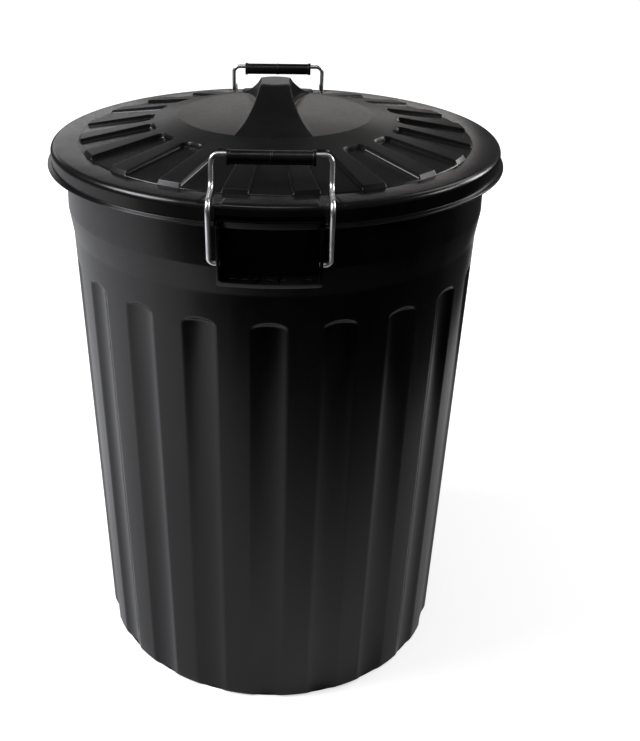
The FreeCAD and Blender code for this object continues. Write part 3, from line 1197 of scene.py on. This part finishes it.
    def build(self, ring: RingRule) -> bpy.types.Mesh:
        """Builds the lid: the ribbed sector repeated, then the crown and the flange with its skirt.

        Args:
            ring: Rule that repeats the sector.

        Returns:
            The lid's mesh.
        """
        tile = Skin()
        for layer in Layer:
            points, hollow = self.rib_sector(layer)
            tile.patch(points, layer is Layer.OUTER, hollow)
        ribs = ring.run(tile.mesh("lid_shell"), self.finish, Copies=self.panels)
        rest = Skin()
        rest.patch(self.crown(Layer.OUTER))
        rest.patch(self.crown(Layer.INNER), flip=True)
        rim = self.rim()
        rest.patch(rim, shelter=np.ones(rim.shape[:2]))
        return welded(ribs, rest.mesh("lid_rest"))

    def dress(self, ring: RingRule) -> bpy.types.Object:
        """Stands the lid up and ties it to the frame.

        Args:
            ring: Rule that repeats the sector.

        Returns:
            The lid.
        """
        shell = stand_up(self.build(ring), self.finish)
        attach(shell, "lid")
        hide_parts("lid")
        return shell


@dataclass
class WireBail:
    """A bent wire: ends in the ears, legs past the skirt, runs over the flange, uprights and a top bar."""

    finish: bpy.types.Material
    end: End
    radius: float = 2.5
    side: float = 58.5
    end_reach: float = 47.8
    pivot_reach: float = 248.5
    pivot_height: float = 568.0
    shoulder_reach: float = 261.533
    run_height: float = 632.4
    upright_reach: float = 216.033
    bar_reach: float = 210.533
    bar_height: float = 666.0
    bends: tuple[float, ...] = (6.0, 10.0, 12.0, 8.0)  # from the pivot up to the top bar
    sides: int = 28
    bend_steps: int = 11

    def line(self) -> np.ndarray:
        """Samples the middle line of the wire, bends and all.

        Returns:
            The points from one end to the other.
        """
        half = [
            (self.end_reach, -self.pivot_reach, self.pivot_height),
            (self.side, -self.pivot_reach, self.pivot_height),
            (self.side, -self.shoulder_reach, self.run_height),
            (self.side, -self.upright_reach, self.run_height),
            (self.side, -self.bar_reach, self.bar_height),
        ]
        corners = [np.array(one) for one in half + [(-x, y, z) for x, y, z in half[::-1]]]
        bends = list(self.bends) + list(self.bends[::-1])
        points = [corners[0]]
        for index, bend in enumerate(bends, 1):
            points.extend(self.bent(corners[index - 1], corners[index], corners[index + 1], bend))
        points.append(corners[-1])
        return self.end.placed(np.array(points))

    def bent(self, before: np.ndarray, corner: np.ndarray, after: np.ndarray, bend: float) -> list[np.ndarray]:
        """Points round one bend.

        Args:
            before: Corner before this one.
            corner: Where the straight runs would meet.
            after: Corner after this one.
            bend: Radius of the bend.

        Returns:
            The points from one run to the next.
        """
        back = (before - corner) / np.linalg.norm(before - corner)
        ahead = (after - corner) / np.linalg.norm(after - corner)
        half = math.acos(float(np.clip(back @ ahead, -1, 1))) / 2
        bisector = (back + ahead) / np.linalg.norm(back + ahead)
        centre = corner + bisector * bend / math.sin(half)
        arm = corner + back * bend / math.tan(half) - centre
        cross = -bisector - (arm @ -bisector) / (arm @ arm) * arm
        cross *= bend / np.linalg.norm(cross)
        turns = (math.pi - 2 * half) * np.linspace(0, 1, self.bend_steps)
        return [centre + arm * math.cos(turn) + cross * math.sin(turn) for turn in turns]

    def build(self, rod: RodRule) -> bpy.types.Mesh:
        """Builds the wire along its line.

        Args:
            rod: Rule that runs a round wire along a line.

        Returns:
            The wire's mesh.
        """
        points = self.line() * MILLIMETRE
        seed = bpy.data.meshes.new(f"{self.end.value}_bail_wire")
        seed.from_pydata(points.tolist(), [(i, i + 1) for i in range(len(points) - 1)], [])
        return welded(rod.run(seed, self.finish, Radius=self.radius * MILLIMETRE, Sides=self.sides))

    def dress(self, rod: RodRule) -> bpy.types.Object:
        """Stands the wire up and ties it to its bail.

        Args:
            rod: Rule that runs a round wire along a line.

        Returns:
            The wire.
        """
        wire = stand_up(self.build(rod), self.finish)
        name = f"{self.end.value}_bail"
        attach(wire, name)
        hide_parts(name)
        return wire


@dataclass
class SleeveGrip:
    """A plastic sleeve on a bail's top bar, with a collar at each end and a fine band at its middle."""

    finish: bpy.types.Material
    end: End
    half_length: float = 43.25
    radius: float = 7.0
    wall: float = 1.1
    collar_radius: float = 7.8
    collar_length: float = 3.4
    band_rise: float = 0.3
    band_half: float = 0.7
    rounds: tuple[float, ...] = (0.25, 0.5, 0.5, 0.35, 0.2, 0.2)  # from the bore to the middle band
    reach: float = 210.533
    height: float = 662.9
    sides: int = 56

    def profile(self) -> np.ndarray:
        """Samples the sleeve's section from its bore over the outside and back.

        Returns:
            Place along the sleeve and radius of each point.
        """
        neck = self.half_length - self.collar_length
        bore = self.radius - self.wall
        places = [
            (self.half_length, bore),
            (self.half_length, self.collar_radius),
            (neck, self.collar_radius),
            (neck, self.radius),
            (self.band_half + self.band_rise, self.radius),
            (self.band_half, self.radius + self.band_rise),
        ]
        half = [(*place, turn) for place, turn in zip(places, self.rounds)]
        start = [(0.0, bore, 0.0)]
        other = [(-along, out, turn) for along, out, turn in half[::-1]]
        return rounded_path(start + half + other + start, turn=18)

    def build(self) -> bpy.types.Mesh:
        """Builds the sleeve by turning its profile round the bar.

        Returns:
            The sleeve's mesh.
        """
        profile = self.profile()
        angles = np.linspace(0, 2 * math.pi, self.sides + 1)
        along, out = profile[:, :1], profile[:, 1:]
        grid = np.stack(
            [along + 0 * angles, -self.reach + out * np.cos(angles), self.height + out * np.sin(angles)], -1
        )
        skin = Skin()
        skin.patch(self.end.placed(grid), flip=True)
        return skin.mesh(f"{self.end.value}_sleeve")

    def dress(self) -> bpy.types.Object:
        """Stands the sleeve up and ties it to its grip.

        Returns:
            The sleeve.
        """
        sleeve = stand_up(self.build(), self.finish)
        name = f"{self.end.value}_grip"
        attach(sleeve, name)
        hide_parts(name)
        return sleeve


@dataclass(frozen=True)
class SoftLight:
    """A rectangular studio light that is turned to a point."""

    name: str
    place: tuple[float, float, float]
    target: tuple[float, float, float]
    size: tuple[float, float]
    watts: float
    tint: tuple[float, float, float] = (1.0, 1.0, 1.0)

    def hang(self) -> None:
        """Adds the light to the scene, unseen by the camera itself."""
        data = bpy.data.lights.new(self.name, "AREA")
        data.shape = "RECTANGLE"
        data.size, data.size_y = self.size
        data.energy = self.watts
        data.color = self.tint
        lamp = put(self.name, data)
        lamp.location = self.place
        lamp.rotation_mode = "QUATERNION"
        aim = Vector(self.target) - Vector(self.place)
        lamp.rotation_quaternion = aim.to_track_quat("-Z", "Y")
        lamp.visible_camera = False


@dataclass
class Studio:
    """White floor and surround, soft lights and the camera at the photograph's angle; past a pale sheet the floor has
    painted shade.
    """

    floor_half: float = 14.0
    floor_tone: float = 0.82
    floor_glow: tuple[float, float] = (0.62, 1.0)
    glow_reach: tuple[float, float] = (0.7, 2.0)
    # Edges of the pale sheet, past which the floor has painted shade that only reflections and bounced light see: the
    # way it ends, and the distances where it starts to fade and is gone.
    sheet_and_shade_edges: tuple[tuple[tuple[float, float, float], float, float], ...] = (
        ((0.0, -1.0, 0.0), 0.83, 0.95),
        ((1.0, 0.0, 0.0), 0.62, 0.88),
        ((0.6, -0.8, 0.0), 0.10, 0.86),
    )
    # Painted shade: the floor's tone past the sheet, as a share of the sheet's tone.
    painted_shade_beyond_sheet: float = 0.06
    surround: float = 0.079
    camera_place: tuple[float, float, float] = (0.01772, -1.18811, 0.94688)
    camera_turn: tuple[float, float, float] = (69.0416, -0.2144, 2.0022)
    camera_lens: float = 51.399
    camera_sensor: float = 36.0
    camera_shift: tuple[float, float] = (0.0872, -0.1686)
    lights: tuple[SoftLight, ...] = (
        SoftLight("left_key", (-2.1, -0.3, 2.4), (-0.2, -0.2, 0.0), (1.2, 1.2), 46.0, (0.98, 0.99, 1.04)),
        SoftLight("left_pool", (-1.4, -0.5, 1.6), (-1.2, -0.4, 0.0), (0.8, 0.8), 14.0, (0.98, 0.99, 1.04)),
        SoftLight("back_left", (-1.3, 2.6, 1.26), (0.0, 0.0, 0.64), (1.6, 0.55), 2.95),
        SoftLight("back_middle", (0.1, 2.6, 1.26), (0.0, 0.0, 0.64), (1.2, 0.55), 2.1, (1.04, 0.99, 0.96)),
        SoftLight("right_high", (1.6, 1.4, 2.4), (0.0, 0.0, 0.4), (1.0, 1.0), 7.0),
        SoftLight("right_window", (2.2, 1.1, 1.4), (0.0, 0.0, 0.64), (0.7, 0.9), 20.0),
        SoftLight("right_front", (2.2, 0.0, 1.55), (0.0, 0.0, 0.64), (0.6, 0.5), 9.0),
        SoftLight("overhead_strip", (-0.2, -0.7, 2.4), (0.0, -0.2, 0.6), (1.2, 0.25), 5.0),
    )

    def floor(self) -> None:
        """Lays the floor: white to the camera where no shadow falls, a pale sheet with painted shade past its edges to
        everything else.
        """
        half = self.floor_half
        mesh = bpy.data.meshes.new("floor")
        mesh.from_pydata([(-half, -half, 0), (half, -half, 0), (half, half, 0), (-half, half, 0)], [], [(0, 1, 2, 3)])
        paint, nodes = blank_material("floor_paint")
        seen = nodes.add("ShaderNodeLightPath").outputs["Is Camera Ray"]
        place = nodes.add("ShaderNodeTexCoord").outputs["Object"]
        # Painted shade: the sheet's edges fade the floor's tone down for everything but the camera.
        sheet = 1.0
        for way, near, far in self.sheet_and_shade_edges:
            reach = nodes.add("ShaderNodeVectorMath", {0: place, 1: way}, operation="DOT_PRODUCT")
            fade = nodes.add(
                "ShaderNodeMapRange",
                {"Value": reach.outputs["Value"], 1: near, 2: far, 3: 1.0, 4: self.painted_shade_beyond_sheet},
                interpolation_type="SMOOTHSTEP",
            )
            sheet = nodes.add("ShaderNodeMath", {0: fade.outputs[0], 1: sheet}, operation="MULTIPLY").outputs[0]
        shown = nodes.add("ShaderNodeMath", {0: sheet, 1: seen}, operation="MAXIMUM")
        tone = nodes.add("ShaderNodeMath", {0: shown.outputs[0], 1: self.floor_tone}, operation="MULTIPLY")
        matt = nodes.add("ShaderNodeBsdfDiffuse", {"Color": tone.outputs[0]})
        away = nodes.add("ShaderNodeVectorMath", {0: place}, operation="LENGTH")
        (start, stop), (low, high) = self.glow_reach, self.floor_glow
        level = nodes.add("ShaderNodeMapRange", {"Value": away.outputs["Value"], 1: start, 2: stop, 3: low, 4: high})
        lift = nodes.add("ShaderNodeMath", {0: seen, 1: level.outputs[0]}, operation="MULTIPLY")
        glow = nodes.add("ShaderNodeEmission", {"Color": (1.0, 1.0, 1.0, 1.0), "Strength": lift.outputs[0]})
        both = nodes.add("ShaderNodeAddShader", {0: matt.outputs[0], 1: glow.outputs[0]})
        nodes.add("ShaderNodeOutputMaterial", {"Surface": both.outputs[0]})
        stand_up(mesh, paint)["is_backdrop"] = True

    def backdrop(self) -> None:
        """Surrounds the scene: white to the camera, dim as a light."""
        world = bpy.data.worlds.new("surround")
        world.use_nodes = True
        nodes = NodeTree(world.node_tree)
        seen = nodes.add("ShaderNodeLightPath").outputs["Is Camera Ray"]
        strength = nodes.add("ShaderNodeMapRange", {"Value": seen, 3: self.surround, 4: 1.0})
        light = nodes.add(
            "ShaderNodeBackground", {"Color": (1.0, 1.0, 1.0, 1.0), "Strength": strength.outputs[0]}
        )
        nodes.add("ShaderNodeOutputWorld", {"Surface": light.outputs[0]})
        bpy.context.scene.world = world

    def camera(self) -> None:
        """Sets the camera where the photograph was taken from."""
        data = bpy.data.cameras.new("camera")
        data.sensor_width = self.camera_sensor
        data.lens = self.camera_lens
        data.shift_x, data.shift_y = self.camera_shift
        eye = put("camera", data)
        eye.location = self.camera_place
        eye.rotation_euler = [math.radians(turn) for turn in self.camera_turn]
        bpy.context.scene.camera = eye

    def build(self) -> None:
        """Builds the whole studio."""
        bpy.context.scene.view_settings.view_transform = "Standard"
        self.floor()
        self.backdrop()
        self.camera()
        for light in self.lights:
            light.hang()


def corners() -> list[list[float]]:
    """Lowest and highest corner of the object as plain lists."""
    return [[float(value) for value in corner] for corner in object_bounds()]


def main() -> None:
    """Builds the bin piece by piece and reports each one."""
    logging.basicConfig(level=logging.INFO, format="%(name)s: %(message)s")
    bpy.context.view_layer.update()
    tub_plastic = PlasticFinish(
        "tub_plastic", rubbed=(0.22, 0.26), sheltered=(0.12, 0.16), wave=0.0009, streak=0.25
    ).material()
    lid_plastic = PlasticFinish(
        "lid_plastic",
        deep=(0.0035, 0.0034, 0.0034),
        hazy=(0.010, 0.0094, 0.0090),
        rubbed=(0.3, 0.36),
        sheltered=(0.2, 0.26),
        wave=0.0003,
    ).material()
    sleeve_plastic = PlasticFinish("sleeve_plastic", rubbed=(0.28, 0.38)).material()
    plated_wire = WireFinish("plated_wire").material()
    ring, rod = RingRule(), RodRule()
    made = [FlutedTub(tub_plastic).dress(ring), RibbedLid(lid_plastic).dress(ring)]
    for end in End:
        made.append(BailLug(tub_plastic, end).dress())
        made.append(WireBail(plated_wire, end).dress(rod))
        made.append(SleeveGrip(sleeve_plastic, end).dress())
    for piece in made:
        LOG.info("%s: %d faces", piece.name, len(piece.data.polygons))
    Studio().build()
    bpy.context.view_layer.update()


if __name__ == "__main__":
    main()
